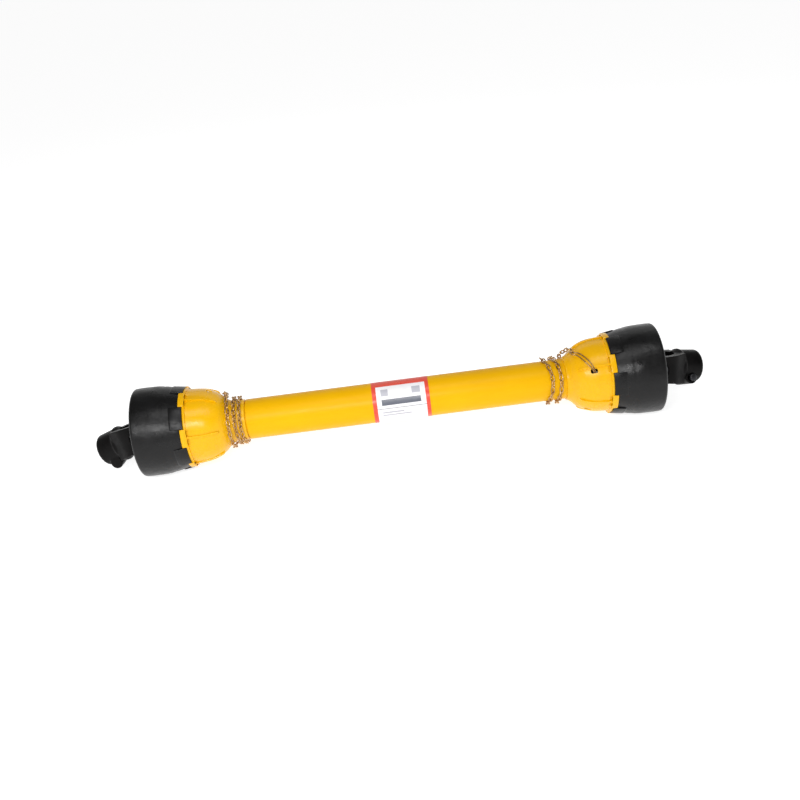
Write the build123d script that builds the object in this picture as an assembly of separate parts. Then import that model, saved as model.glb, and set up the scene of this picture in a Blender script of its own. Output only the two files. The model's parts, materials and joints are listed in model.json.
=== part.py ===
"""PTO drive shaft: a telescopic shaft with a universal joint at each end, inside a plastic guard.

The shaft lies along X with its middle at the origin and +Z up, on the floor, carried by the mouths of
its two guard cones. Each end is built in an end frame of its own, whose origin is the centre of the
cross and whose +X points outwards along the shaft, and is then set in its place. In an end frame a
set-back is a distance from the cross centre back towards the middle of the shaft, and an angle about
the shaft is counted from +Y towards +Z.
"""

import os
from math import cos, pi, radians, sin, sqrt

from build123d import *

# Driving dimensions, in millimetres and degrees

# The whole shaft, closed
joint_distance = 860.0
left_droop = 17.7
left_swing = -13.5
right_droop = 7.0
right_swing = 13.5
drive_turn = -18.0

# Cross and bearing cups
cap_diameter = 27.0
cross_span = 74.6
cap_length = 17.5
cap_floor = 3.0
trunnion_diameter = 16.8
seal_thickness = 2.0
cross_shoulder_land = 1.3
nipple_thread_radius = 2.5
nipple_nut_radius = 3.9

# Forks
ear_radius = 21.6
ear_chamfer = 5.0
ear_gap = 53.0
ear_lip = 2.2
circlip_thickness = 1.5
circlip_groove_depth = 0.9
circlip_width = 3.4
throat_depth = 42.0

# Outer yoke hub, with its spline and locking pin
hub_diameter = 57.0
hub_tip_diameter = 55.0
hub_length = 47.0
collar_set_out = 52.0
collar_height = 1.8
hub_rounding = 6.5
spline_major = 34.9
spline_minor = 29.7
spline_slot = 8.7
spline_count = 6
bore_lead_in = 1.8
pin_diameter = 12.4
pin_from_tip = 22.0
pin_angle = 12.0
pin_travel = 10.0
pin_boss_wall = 4.2
pin_button_reach = 7.5
pin_inner_end = -12.0
pin_guide_reach = 1.5
pin_hole_floor = 2.8
spring_pocket_depth = 9.0
spring_pocket_wall = 1.8
spring_wire = 1.0
spring_turns = 6

# Inner yoke hub
inner_hub_diameter = 66.0
inner_hub_end = 106.0
groove_set_back = 94.0
groove_width = 8.0
groove_depth = 2.5
tube_socket_depth = 44.0
roll_pin_diameter = 10.0
roll_pin_wall = 2.0
roll_pin_set_back = 77.0

# Telescopic profile tubes: a triangle with rounded corners
profile_corner_offset = 18.0
profile_corner_radius = 9.0
profile_wall = 4.0
outer_profile_end = 300.0
inner_profile_reach = 270.0

# Guard tubes
guard_tube_diameter = 68.0
guard_wall = 2.5
inner_guard_reach = 240.0
guard_tube_seat = 20.0

# Bells, as set-backs and outer radii from the rim to the neck
rim_set_back = 75.0
bell_outline = [(75.0, 64.3), (84.0, 63.0), (103.0, 61.5), (116.0, 57.5), (123.0, 54.0),
                (130.0, 49.5), (135.0, 45.0), (140.0, 40.0), (146.0, 36.6)]
bell_wall = 3.0
sleeve_wall = 2.6
sleeve_end = 118.0
left_neck_end = 172.0
tab_count = 6
tab_width = 26.4
tab_overlap = 6.2
tab_root = 3.5
tab_thickness = 3.0
tab_pocket_length = 3.4
tab_pocket_depth = 1.2
tab_pocket_width = 9.0
tab_pocket_offset = 6.4
rib_thickness = 3.0
rib_outline = [(130.0, -0.4), (127.0, 3.6), (113.0, 2.2), (100.0, 1.8)]
rib_root = -1.2
left_tab_angle = 13.5
right_tab_angle = 138.2
chain_hole_offset = 6.6
chain_hole_depth = 30.0
chain_hole = (13.0, 8.6)
window_set_back = 115.5
window_size = (10.0, 11.0)
window_count = 2

# Cones, as set-backs and outer radii from the lugs to the mouth
cone_outline = [(68.0, 66.8), (55.0, 70.2), (43.0, 72.8), (28.0, 74.8), (5.0, 75.3), (-6.0, 75.0)]
cone_wall = 3.4
mouth_reach = 11.0
mouth_rounding = 5.0
waist_line_set_back = 40.5
waist_line_width = 2.2
waist_line_depth = 0.5
lug_reach = 22.0
lug_gap = 0.6
spigot_length = 13.0

# Bearing rings
ring_rim_height = 5.5
ring_web = 3.2
ring_finger_width = 9.0
ring_finger_thickness = 2.6
ring_split = 6.0

# Chains and hooks
chain_wire = 2.3
link_pitch = 10.4
link_width = 8.2
link_slack = 0.4
link_sides = 5
hook_wire = 2.0
hook_width = 8.0
hook_sweep = 50.0
hook_start_set_back = 134.0
hook_nose = 0.45
hook_rise = [(0.25, 3.4), (0.5, 3.6), (0.78, 4.8), (0.93, 3.9), (1.03, -1.6)]
right_route = [(0.0, 134.0, 1.0), (0.13, 147.0, 0.8), (0.347, 157.0, 0.3), (0.597, 163.0, 0.2),
               (0.847, 156.5, 0.3), (1.097, 164.0, 0.3), (1.347, 172.0, 0.0), (1.597, 178.5, 0.0),
               (1.847, 171.0, 0.3), (2.097, 182.0, 0.2)]
left_route = [(0.0, 134.0, 1.0), (0.12, 143.5, 0.5), (0.333, 145.0, 0.4), (0.583, 145.5, 0.4),
              (0.833, 147.0, 0.3), (1.083, 154.0, 0.2), (1.333, 155.0, 0.2), (1.583, 158.0, 0.2),
              (1.833, 157.0, 0.2), (2.083, 163.5, 0.2), (2.333, 164.0, 0.2), (2.583, 166.0, 0.0),
              (2.7, 167.5, 0.0)]

# Label on the guard tube
label_start = -43.0
label_end = 53.0
label_wrap = 250.0
label_thickness = 0.25
label_facing = 150.0

# Form of the forgings
fork_shoulder = 10.0
arm_root_radius = 25.5
hub_root = (12.0, 24.0)
hub_throat_radius = 26.0

# Clearances
press_gap = 0.02
running_gap = 0.05
slide_gap = 0.3
seat_gap = 0.1
chain_gap = 0.7
pin_bore_gap = 0.15
tube_end_gap = 1.0
left_tube_gap = 2.0

# Sizes worked out from the driving dimensions
cap_radius = cap_diameter / 2
trunnion_radius = trunnion_diameter / 2
cross_body_radius = cross_span / 2 - cap_length - seal_thickness - cross_shoulder_land
ear_inner = ear_gap / 2
ear_outer = cross_span / 2 + circlip_thickness + ear_lip
hub_radius = hub_diameter / 2
hub_tip = throat_depth + hub_length
bore_radius = spline_minor / 2
pin_radius = pin_diameter / 2
pin_hole_radius = pin_radius + running_gap
pin_boss_radius = pin_hole_radius + pin_boss_wall
pin_offset = bore_radius + pin_bore_gap + pin_radius
pin_waist_half = sqrt((spline_major / 2) ** 2 - (pin_offset - pin_radius) ** 2) + 0.4
pin_hole_bottom = pin_inner_end - pin_travel - 1.2
boss_bottom = pin_hole_bottom - pin_hole_floor
boss_top = sqrt(hub_radius ** 2 - pin_offset ** 2) + pin_guide_reach
nipple_boss_radius = nipple_nut_radius + 0.3
nipple_seat = (cap_radius - 2.0) * sqrt(2) + nipple_boss_radius
inner_hub_radius = inner_hub_diameter / 2
groove_radius = inner_hub_radius - groove_depth
guard_radius = guard_tube_diameter / 2
inner_guard_radius = guard_radius - guard_wall - slide_gap
inner_tube_inset = profile_wall + slide_gap
pivot = joint_distance / 2
mouth_radius = max(radius for _, radius in cone_outline)
tab_pitch = 360.0 / tab_count
tab_inner = bell_outline[0][1] + 1.3
tab_outer = tab_inner + tab_thickness
tab_tip_set_back = rim_set_back - tab_overlap
spigot_radius = bell_outline[0][1] - bell_wall - 1.9
link_reach = (link_width - chain_wire) / 2 * cos(pi / 4) + chain_wire / 2


def turned(*points):
    """The closed outline of (along the shaft, radius) points, turned about the shaft."""
    return revolve(make_face(Polyline(*points, close=True)), Axis.X)


def sector(points, middle, width):
    """The same outline turned through a width in degrees, centred on a middle angle."""
    face = make_face(Polyline(*points, close=True))
    return Rot(middle - width / 2, 0, 0) * revolve(face, Axis.X, width)


def across(radius, start, end, direction):
    """A rod along X, Y or Z between two places on that line."""
    turns = {"X": (0, 90, 0), "Y": (-90, 0, 0), "Z": (0, 0, 0)}
    rod = Cylinder(radius, end - start, align=(Align.CENTER, Align.CENTER, Align.MIN))
    return Rot(*turns[direction]) * Pos(0, 0, start) * rod


def outline_radius(outline, set_back):
    """The radius of an outline of (set-back, radius) points at a set-back between its ends."""
    for (near, near_radius), (far, far_radius) in zip(outline, outline[1:]):
        if min(near, far) <= set_back <= max(near, far):
            share = (set_back - near) / (far - near)
            return near_radius + share * (far_radius - near_radius)
    return outline[0][1] if set_back < outline[0][0] else outline[-1][1]


def inset(outline, depth):
    """An outline moved inwards by a depth, square to its own slope at each point."""
    moved = []
    for index, (set_back, radius) in enumerate(outline):
        before = outline[max(index - 1, 0)]
        after = outline[min(index + 1, len(outline) - 1)]
        run = after[0] - before[0]
        rise = after[1] - before[1]
        length = sqrt(run * run + rise * rise)
        side = 1 if run > 0 else -1
        moved.append((set_back + side * depth * rise / length, radius - side * depth * run / length))
    return moved


# Universal joint

def fork(hub):
    """Two ears and the bridge that joins them to a turned hub along +X, with the pin line along Y."""
    shoulder = throat_depth + fork_shoulder
    side = make_face([
        Polyline((shoulder, -hub_radius), (shoulder, hub_radius)),
        Spline((shoulder, hub_radius), (30.0, ear_outer - 2.5), (6.0, ear_outer),
               tangents=[(-1, 0.35), (-1, 0)]),
        Polyline((6.0, ear_outer), (0.0, ear_outer), (0.0, -ear_outer), (6.0, -ear_outer)),
        Spline((6.0, -ear_outer), (30.0, 2.5 - ear_outer), (shoulder, -hub_radius),
               tangents=[(1, 0), (1, 0.35)]),
    ])
    front = make_hull([
        *Circle(ear_radius).edges(),
        *(Pos(shoulder, 0) * Circle(arm_root_radius)).edges(),
    ])
    arms = extrude(side, 2 * ear_radius, both=True) & extrude(Plane.XZ * front, 2 * ear_outer, both=True)
    arms &= Pos(shoulder / 2, 0, 0) * Box(shoulder, 4 * ear_outer, 4 * ear_radius)
    disc = Rot(0, 0, 90) * turned((-ear_outer, 0), (-ear_outer, ear_radius - ear_chamfer),
                                  (ear_chamfer - ear_outer, ear_radius),
                                  (ear_outer - ear_chamfer, ear_radius),
                                  (ear_outer, ear_radius - ear_chamfer), (ear_outer, 0))
    throat_centre = throat_depth - ear_inner
    slot = Pos(throat_centre, 0, 0) * Cylinder(ear_inner, 6 * ear_radius)
    slot += Pos(throat_centre / 2 - ear_radius, 0, 0) * Box(
        throat_centre + 2 * ear_radius, ear_gap, 6 * ear_radius)
    body = arms + disc + hub - slot
    return body - ear_bores()


def ear_bores():
    """The two bearing bores of a fork, with their circlip grooves."""
    bores = across(cap_radius, -2 * ear_outer, 2 * ear_outer, "Y")
    for side in (-1, 1):
        inner = side * cross_span / 2
        outer = side * (cross_span / 2 + circlip_thickness)
        bores += across(cap_radius + circlip_groove_depth, min(inner, outer), max(inner, outer), "Y")
    return bores


def pin_place():
    """The locking pin's frame in an end frame: its line is +Z, outwards at the button."""
    turn = Rot(-pin_angle, 0, 0)
    return Pos(hub_tip - pin_from_tip, 0, 0) * turn * Pos(0, 0, -pin_offset) * Rot(90, 0, 0)


def outer_yoke():
    """The splined yoke, drawn straight along +X."""
    collar = hub_radius + collar_height
    tip_radius = hub_tip_diameter / 2
    corner = tip_radius - hub_rounding
    outline = make_face([
        Polyline((hub_tip, corner), (hub_tip, 0), (throat_depth - hub_root[0], 0),
                 (throat_depth - hub_root[0], hub_root[1]), (throat_depth, hub_throat_radius),
                 (collar_set_out - 2, collar), (collar_set_out + 1.5, collar),
                 (collar_set_out + 4.5, hub_radius), (hub_tip - hub_rounding, tip_radius)),
        RadiusArc((hub_tip - hub_rounding, tip_radius), (hub_tip, corner), hub_rounding),
    ])
    hub = revolve(outline, Axis.X)
    boss = pin_place() * Pos(0, 0, boss_bottom) * Cylinder(
        pin_boss_radius, boss_top - boss_bottom, align=(Align.CENTER, Align.CENTER, Align.MIN))
    hub += boss
    body = fork(hub)
    body -= spline_bore(throat_depth - 30, hub_tip + 5)
    body -= turned((hub_tip - bore_lead_in, 0), (hub_tip - bore_lead_in, spline_major / 2),
                   (hub_tip + 1, spline_major / 2 + bore_lead_in + 1), (hub_tip + 1, 0))
    body -= pin_place() * Pos(0, 0, pin_hole_bottom) * Cylinder(
        pin_hole_radius, hub_diameter - pin_hole_bottom, align=(Align.CENTER, Align.CENTER, Align.MIN))
    return body


def spline_bore(start, end):
    """The splined hole: a round bore at the minor diameter, with slots out to the major one."""
    slots = Circle(bore_radius)
    for index in range(spline_count):
        slots += Rot(0, 0, 360.0 / spline_count * index) * Pos(spline_major / 4, 0) * Rectangle(
            spline_major / 2 + 2, spline_slot)
    section = slots & Circle(spline_major / 2)
    return extrude(Pos(start, 0, 0) * (Plane.YZ * section), end - start)


def push_pin():
    """The sprung pin that locks the yoke on its shaft, drawn released in the pin's frame."""
    waist_start = pin_travel - pin_waist_half
    waist_end = pin_waist_half + pin_travel
    waist_radius = pin_offset - spline_major / 2 - 0.2
    button_end = boss_top + pin_button_reach
    slope = pin_radius - waist_radius
    outline = make_face([
        Polyline((0, pin_inner_end), (pin_radius - 0.6, pin_inner_end), (pin_radius, pin_inner_end + 0.6),
                 (pin_radius, waist_start), (waist_radius, waist_start + slope),
                 (waist_radius, waist_end), (pin_radius, waist_end + slope),
                 (pin_radius, button_end - 2.5)),
        Spline((pin_radius, button_end - 2.5), (pin_radius - 2.0, button_end - 0.5), (0, button_end),
               tangents=[(0, 1), (-1, 0)]),
        Polyline((0, button_end), (0, pin_inner_end)),
    ])
    pin = revolve(Plane.XZ * outline, Axis.Z)
    pocket = Pos(0, 0, pin_inner_end) * Cylinder(
        pin_radius - spring_pocket_wall, spring_pocket_depth, align=(Align.CENTER, Align.CENTER, Align.MIN))
    return pin - pocket


def pin_spring():
    """The coil spring between the pin's pocket and the floor of its hole, as stacked rings."""
    start = pin_hole_bottom + seat_gap
    end = pin_inner_end + spring_pocket_depth - seat_gap
    mean_radius = pin_radius - spring_pocket_wall - spring_wire / 2 - slide_gap
    rise = (end - start - spring_wire) / spring_turns
    coil = Helix(rise, end - start - spring_wire, mean_radius)
    wire = Plane(origin=coil @ 0, z_dir=coil % 0) * Circle(spring_wire / 2)
    return Pos(0, 0, start + spring_wire / 2) * sweep(wire, path=coil, is_frenet=True)


def cross():
    """The forged cross with its four trunnions, outer yoke's pair along Y and inner yoke's along Z."""
    reach = cross_span / 2 - cap_floor - seat_gap
    cup_mouth = cross_span / 2 - cap_length
    shoulder = cup_mouth - seal_thickness - seat_gap
    arm = turned((-reach, 0), (-reach, trunnion_radius - 0.8), (0.8 - reach, trunnion_radius),
                 (-shoulder, trunnion_radius), (-shoulder, cap_radius - 2), (shoulder, cap_radius - 2),
                 (shoulder, trunnion_radius), (reach - 0.8, trunnion_radius),
                 (reach, trunnion_radius - 0.8), (reach, 0))
    body = Rot(0, 0, 90) * arm + Rot(0, 90, 0) * arm + Sphere(cross_body_radius)
    body += Rot(45, 0, 0) * across(nipple_boss_radius, 0, nipple_seat, "Y")
    return body - Rot(45, 0, 0) * across(nipple_thread_radius, nipple_seat - 8, nipple_seat + 1, "Y")


def cross_seals():
    """The rubber seals between the cross's shoulders and the mouths of the cups."""
    outer = cross_span / 2 - cap_length - seat_gap
    inner = outer - seal_thickness
    seal = turned((inner, trunnion_radius + press_gap), (inner, cap_radius - 1.0),
                  (outer, cap_radius - 1.6), (outer, trunnion_radius + press_gap))
    return [Rot(*turn) * seal for turn in ((0, 0, 90), (0, 0, -90), (0, 90, 0), (0, -90, 0))]


def grease_nipple():
    """The grease nipple screwed into the cross between two trunnions."""
    foot = nipple_seat - 8 + seat_gap
    seat = nipple_seat + press_gap
    shank = nipple_thread_radius - press_gap
    stem = turned((foot, 0), (foot, shank), (seat, shank), (seat + 3.0, 2.0), (seat + 4.4, 1.6),
                  (seat + 5.4, 2.9), (seat + 6.8, 2.9), (seat + 7.8, 1.8), (seat + 7.8, 0))
    nut = extrude(Pos(seat, 0, 0) * (Plane.YZ * RegularPolygon(nipple_nut_radius, 6)), 2.8)
    return Rot(45, 0, 0) * Rot(0, 0, 90) * (stem + nut)


def bearing_cups():
    """The two cups of one fork, drawn along Y; their thick wall stands for the needles."""
    end = cross_span / 2
    mouth = end - cap_length
    outer = cap_radius - press_gap
    inner = trunnion_radius + running_gap
    cup = turned((mouth, inner), (mouth, outer), (end - 1.0, outer), (end, outer - 1.0), (end, 0),
                 (end - cap_floor, 0), (end - cap_floor, inner))
    return [Rot(0, 0, 90) * cup, Rot(0, 0, -90) * cup]


def circlips():
    """The two circlips of one fork, drawn along Y, each open at its gap."""
    start = cross_span / 2 + press_gap
    end = start + circlip_thickness - 2 * press_gap
    outer = cap_radius + circlip_groove_depth - press_gap
    clip = sector([(start, outer - circlip_width), (start, outer), (end, outer),
                   (end, outer - circlip_width)], 0, 310)
    return [Rot(0, 0, 90) * clip, Rot(0, 0, -90) * clip]


# Inner yoke and profile tubes

def profile(inset_by):
    """The triangular section with rounded corners, one corner towards +Z, inset by a distance."""
    corner = profile_corner_radius - inset_by
    circles = []
    for index in range(3):
        turn = radians(90 + 120 * index)
        place = Pos(profile_corner_offset * cos(turn), profile_corner_offset * sin(turn))
        circles += (place * Circle(corner)).edges()
    return make_hull(circles)


def profile_bar(inset_by, start, end):
    """A solid bar of the triangular section between two places along X."""
    return extrude(Pos(start, 0, 0) * (Plane.YZ * profile(inset_by)), end - start)


def inner_yoke(tube_inset):
    """The yoke on the profile tube in an end frame: hub towards -X, pin line along Z."""
    groove_near = groove_set_back - groove_width / 2
    groove_far = groove_set_back + groove_width / 2
    hub = turned((throat_depth - hub_root[0], 0), (throat_depth - hub_root[0], hub_root[1]),
                 (throat_depth, hub_throat_radius), (throat_depth + 9, inner_hub_radius - 2),
                 (throat_depth + 12, inner_hub_radius),
                 (groove_near, inner_hub_radius), (groove_near, groove_radius),
                 (groove_far, groove_radius), (groove_far, inner_hub_radius),
                 (inner_hub_end - 2, inner_hub_radius), (inner_hub_end, inner_hub_radius - 2),
                 (inner_hub_end, 0))
    body = Rot(90, 0, 0) * Rot(0, 0, 180) * fork(hub)
    socket = profile_bar(tube_inset - seat_gap, -inner_hub_end - 5, tube_socket_depth - inner_hub_end)
    return body - socket - roll_pin_hole()


def roll_pin_hole():
    """The cross hole for the roll pin, through the hub and the profile tube."""
    reach = inner_hub_radius + 10
    return Pos(-roll_pin_set_back, 0, 0) * across(roll_pin_diameter / 2, -reach, reach, "Y")


def roll_pin():
    """The slotted spring pin through the inner yoke and the profile tube."""
    reach = inner_hub_radius - 1.5
    outer = across(roll_pin_diameter / 2 - press_gap, -reach, reach, "Y")
    inner = across(roll_pin_diameter / 2 - roll_pin_wall, -reach - 1, reach + 1, "Y")
    slot = Pos(roll_pin_diameter / 2, 0, 0) * Box(roll_pin_diameter, 2 * reach + 2, 1.2)
    return Pos(-roll_pin_set_back, 0, 0) * (outer - inner - slot)


def drive_tube(tube_inset, yoke_side, free_end):
    """A profile tube from the socket of one inner yoke to its free end."""
    seated = yoke_side * (pivot - inner_hub_end + tube_socket_depth - tube_end_gap)
    low = min(seated, free_end)
    high = max(seated, free_end)
    tube = profile_bar(tube_inset, low, high)
    tube -= profile_bar(tube_inset + profile_wall, low - 1, high + 1)
    pin_line = Pos(yoke_side * (pivot - roll_pin_set_back), 0, 0)
    reach = inner_hub_radius
    return tube - pin_line * across(roll_pin_diameter / 2, -reach, reach, "Y")


# Guard

def bell(tube_radius, neck_end, neck_radius, tab_angle, hole_angle):
    """The yellow bell on the end of a guard tube, with its neck, ribs, windows and castellated rim."""
    outer = [(-set_back, radius) for set_back, radius in bell_outline]
    inner = [(-set_back, radius) for set_back, radius in inset(bell_outline, bell_wall)]
    deepest = [point for point in inner if point[1] > tube_radius + sleeve_wall + 4.0]
    socket = tube_radius + running_gap
    sleeve = socket + sleeve_wall
    rim = [(-rim_set_back, tab_inner + 0.9), (-rim_set_back - 4.0, tab_inner + 0.9),
           (-rim_set_back - 4.6, outline_radius(bell_outline, rim_set_back + 4.6))]
    neck = [(-neck_end + 0.8, neck_radius), (-neck_end, neck_radius - 0.8), (-neck_end, socket)]
    if neck_end > bell_outline[-1][0] + 2:
        neck = [(-bell_outline[-1][0] - 4, neck_radius)] + neck
    body = turned(*rim, *outer[1:-1], *neck, (-sleeve_end, socket), (-sleeve_end, sleeve),
                  (deepest[-1][0] - 2.0, sleeve), *reversed(deepest[1:]),
                  (-rim_set_back, deepest[0][1]))
    for index in range(tab_count):
        middle = tab_angle + index * tab_pitch
        body += tab(middle)
        body += rib(middle)
        body -= tab_pockets(middle)
    for index in range(window_count):
        middle = tab_angle + 1.5 * tab_pitch + index * 360.0 / window_count
        body -= wall_hole(window_set_back, middle, *window_size)
    return body - wall_hole(rim_set_back + chain_hole_depth, hole_angle, *chain_hole)


def tab(middle):
    """One castellated tab, on its foot behind the rim."""
    back = rim_set_back + tab_root
    wall = outline_radius(bell_outline, back) - 1.0
    points = [(-back, wall), (-back, tab_outer - 0.8), (0.8 - back, tab_outer),
              (-tab_tip_set_back - 0.8, tab_outer), (-tab_tip_set_back, tab_outer - 0.8),
              (-tab_tip_set_back, tab_inner), (-rim_set_back, tab_inner), (-rim_set_back, wall)]
    return sector(points, middle, tab_width)


def tab_pockets(middle):
    """The two shallow pockets in the bell's surface behind a tab, either side of its rib."""
    near = rim_set_back + tab_root
    far = near + tab_pocket_length
    low = outline_radius(bell_outline, far) - tab_pocket_depth
    points = [(-far, low), (-far, tab_outer), (-near, tab_outer), (-near, low)]
    return [sector(points, middle + side * tab_pocket_offset, tab_pocket_width) for side in (-1, 1)]


def rib(middle):
    """The thin rib that runs up the bell's shoulder to a tab."""
    back = rim_set_back + tab_root - 0.5
    top = [*rib_outline, (back, rib_outline[-1][1])]
    root = [(back, rib_root), (rib_outline[-1][0], rib_root), (rib_outline[0][0], rib_root)]
    points = [(-set_back, outline_radius(bell_outline, set_back) + height)
              for set_back, height in top + root]
    face = make_face(Polyline(*points, close=True))
    return Rot(middle, 0, 0) * extrude(face, rib_thickness / 2, both=True)


def wall_hole(set_back, middle, length, width):
    """A tool that cuts a rounded oblong hole through the bell's wall."""
    tool = extrude(RectangleRounded(length, width, min(length, width) * 0.3), 26)
    radius = outline_radius(bell_outline, set_back)
    return Rot(middle - 90, 0, 0) * Pos(-set_back, 0, radius - 14) * tool


def cone(tab_angle):
    """The black guard cone, with its spigot in the bell, its lugs between the tabs and its mouth."""
    step = rim_set_back - seat_gap
    land = tab_inner - seat_gap
    outer = [(-set_back, radius) for set_back, radius in cone_outline]
    inner = [(-set_back, radius) for set_back, radius in inset(cone_outline, cone_wall)]
    mouth_lip = cone_outline[-1][1] - mouth_rounding
    spigot_inner = spigot_radius - bell_wall
    face = make_face([
        Polyline((-step - spigot_length, spigot_inner), (-step - spigot_length, spigot_radius),
                 (-step, spigot_radius), (-step, land), (-tab_tip_set_back + seat_gap, land), outer[0]),
        Spline(*outer),
        RadiusArc(outer[-1], (mouth_reach, mouth_lip), mouth_rounding),
        Polyline((mouth_reach, mouth_lip), (mouth_reach - 1.0, mouth_lip - 0.8), inner[-1]),
        Spline(*reversed(inner)),
        Polyline(inner[0], (-step + 3.2, inner[0][1] - 1.2), (-step + 3.2, spigot_inner),
                 (-step - spigot_length, spigot_inner)),
    ])
    body = revolve(face, Axis.X)
    near = waist_line_set_back - waist_line_width / 2
    far = waist_line_set_back + waist_line_width / 2
    line_radius = outline_radius(cone_outline, waist_line_set_back) - waist_line_depth
    body -= turned((-far, line_radius), (-near, line_radius), (-near, mouth_radius + 5),
                   (-far, mouth_radius + 5))
    return body + [lug(tab_angle + tab_pitch * (index + 0.5)) for index in range(tab_count)]


def lug(middle):
    """One raised lug of the cone, which fills the gap between two tabs."""
    front = rim_set_back - lug_reach
    points = [(-rim_set_back + seat_gap, tab_inner - 1.2), (-rim_set_back + seat_gap, tab_outer - 1.0),
              (-rim_set_back + 1.2, tab_outer), (-front - 3.0, outline_radius(cone_outline, front) + 0.6),
              (-front, outline_radius(cone_outline, front) - 0.3), (-front - 1.0, 68.0)]
    return sector(points, middle, tab_pitch - tab_width - 2 * lug_gap)


def bearing_ring(tab_angle):
    """The plastic ring that rides in the inner yoke's groove and snaps into the bell's windows."""
    bore = groove_radius + slide_gap
    near = -groove_set_back + groove_width / 2 - slide_gap
    far = -groove_set_back - groove_width / 2 + slide_gap
    rim = bore + ring_rim_height
    wall = outline_radius(inset(bell_outline, bell_wall), groove_set_back) - 2 * seat_gap
    web_near = -groove_set_back + ring_web / 2
    web_far = -groove_set_back - ring_web / 2
    body = turned((near, bore), (near, rim), (web_near, rim + 2.5), (web_near, wall),
                  (web_far, wall), (web_far, rim + 2.5), (far, rim), (far, bore))
    for index in range(window_count):
        body += ring_finger(tab_angle + 1.5 * tab_pitch + index * 360.0 / window_count, web_far)
    split = Rot(tab_angle, 0, 0) * Pos(-groove_set_back, mouth_radius / 2, 0) * Box(
        3 * groove_width, mouth_radius, ring_split)
    return body - split


def ring_finger(middle, start):
    """A springy finger of the bearing ring, whose hook stands in a window of the bell."""
    end = -window_set_back - window_size[0] / 2 + 1.2
    hook = -window_set_back + window_size[0] / 2 - 1.2
    inner_wall = outline_radius(inset(bell_outline, bell_wall), -end)
    top = inner_wall - 0.8
    hook_top = outline_radius(bell_outline, -hook) - 2.2
    points = [(start + 0.5, top), (start + 0.5, top - ring_finger_thickness),
              (end, top - ring_finger_thickness), (end, top), (end + 1.0, inner_wall + 0.6),
              (hook - 0.4, hook_top), (hook, hook_top), (hook, top)]
    face = make_face(Polyline(*points, close=True))
    return Rot(middle, 0, 0) * extrude(face, ring_finger_width / 2, both=True)


def guard_tube(radius, low, high):
    """A plain round guard tube between two places along X."""
    wall = radius - guard_wall
    return turned((low, wall), (low, radius), (high, radius), (high, wall))


def label():
    """The thin printed sheet round the guard tube, bare of words."""
    inner = guard_radius + seat_gap
    outer = inner + label_thickness
    points = [(label_start, inner), (label_start, outer), (label_end, outer), (label_end, inner)]
    return sector(points, label_facing, label_wrap)


# Chains and hooks

def bent_wire(points, radius, closed):
    """A wire with flat sides along straight runs, mitred at each point."""
    places = [Vector(*point) for point in points]
    count = len(places)
    runs = [(places[(index + 1) % count] - places[index]).normalized() for index in range(count)]
    if not closed:
        runs = runs[:-1]
    mitres = []
    for index in range(count):
        before = runs[(index - 1) % len(runs)] if closed or index > 0 else runs[0]
        after = runs[index] if closed or index < count - 1 else runs[-1]
        mitres.append((before + after).normalized())
    first = runs[0]
    level = Vector(0, 0, 1) if abs(first.Z) < 0.9 else Vector(0, 1, 0)
    aside = first.cross(level).normalized()
    above = aside.cross(first)
    turns = [2 * pi * (side + 0.5) / link_sides for side in range(link_sides)]
    section = [places[0] + aside * (radius * cos(turn)) + above * (radius * sin(turn)) for turn in turns]
    sections = [slid(section, first, places[0], mitres[0])]
    for index in range(1, count):
        sections.append(slid(sections[-1], runs[index - 1], places[index], mitres[index]))
    if closed:
        sections.append(sections[0])
    faces = []
    for near, far in zip(sections, sections[1:]):
        for side in range(link_sides):
            after = (side + 1) % link_sides
            faces.append(flat_face(near[side], near[after], far[after], far[side]))
    if not closed:
        faces.append(flat_face(*reversed(sections[0])))
        faces.append(flat_face(*sections[-1]))
    return Solid(Shell(faces))


def slid(section, along, place, normal):
    """A section's corners moved along a run onto the plane through a place with a normal."""
    return [corner + along * ((place - corner).dot(normal) / along.dot(normal)) for corner in section]


def flat_face(*corners):
    """A flat face on its corners."""
    return Face(Wire.make_polygon([tuple(corner) for corner in corners], close=True))


def chain_link():
    """One link, flat in XY and long along X."""
    length = link_pitch + chain_wire
    reach = length / 2
    half = (link_width - chain_wire) / 2
    bend = 0.41 * half
    corners = [(reach, bend), (reach - half + bend, half), (half - bend - reach, half), (-reach, bend)]
    mirrored = [(x, -y) for x, y in reversed(corners)]
    return bent_wire([(x, y, 0) for x, y in corners + mirrored], chain_wire / 2, True)


def under_chain(side_outline, set_back):
    """The radius that links lie on, evened out over a link's length so that they bridge a corner."""
    places = [set_back - link_reach + link_pitch * share for share in (-0.5, -0.25, 0.0, 0.25, 0.5)]
    return sum(outline_radius(side_outline, place) for place in places) / len(places)


def route_point(route, outline, start_angle, turn):
    """A point of the chain's route, its angle and its way outwards, at a number of turns."""
    for (near, near_back, near_lift), (far, far_back, far_lift) in zip(route, route[1:]):
        if turn <= far:
            break
    share = (1 - cos(pi * min(max((turn - near) / (far - near), 0), 1))) / 2
    set_back = near_back + share * (far_back - near_back)
    lift = near_lift + share * (far_lift - near_lift)
    radius = under_chain(outline, set_back) + link_reach + chain_gap + lift
    angle = radians(start_angle - 360.0 * turn)
    return Vector(-set_back, radius * cos(angle), radius * sin(angle))


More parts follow.
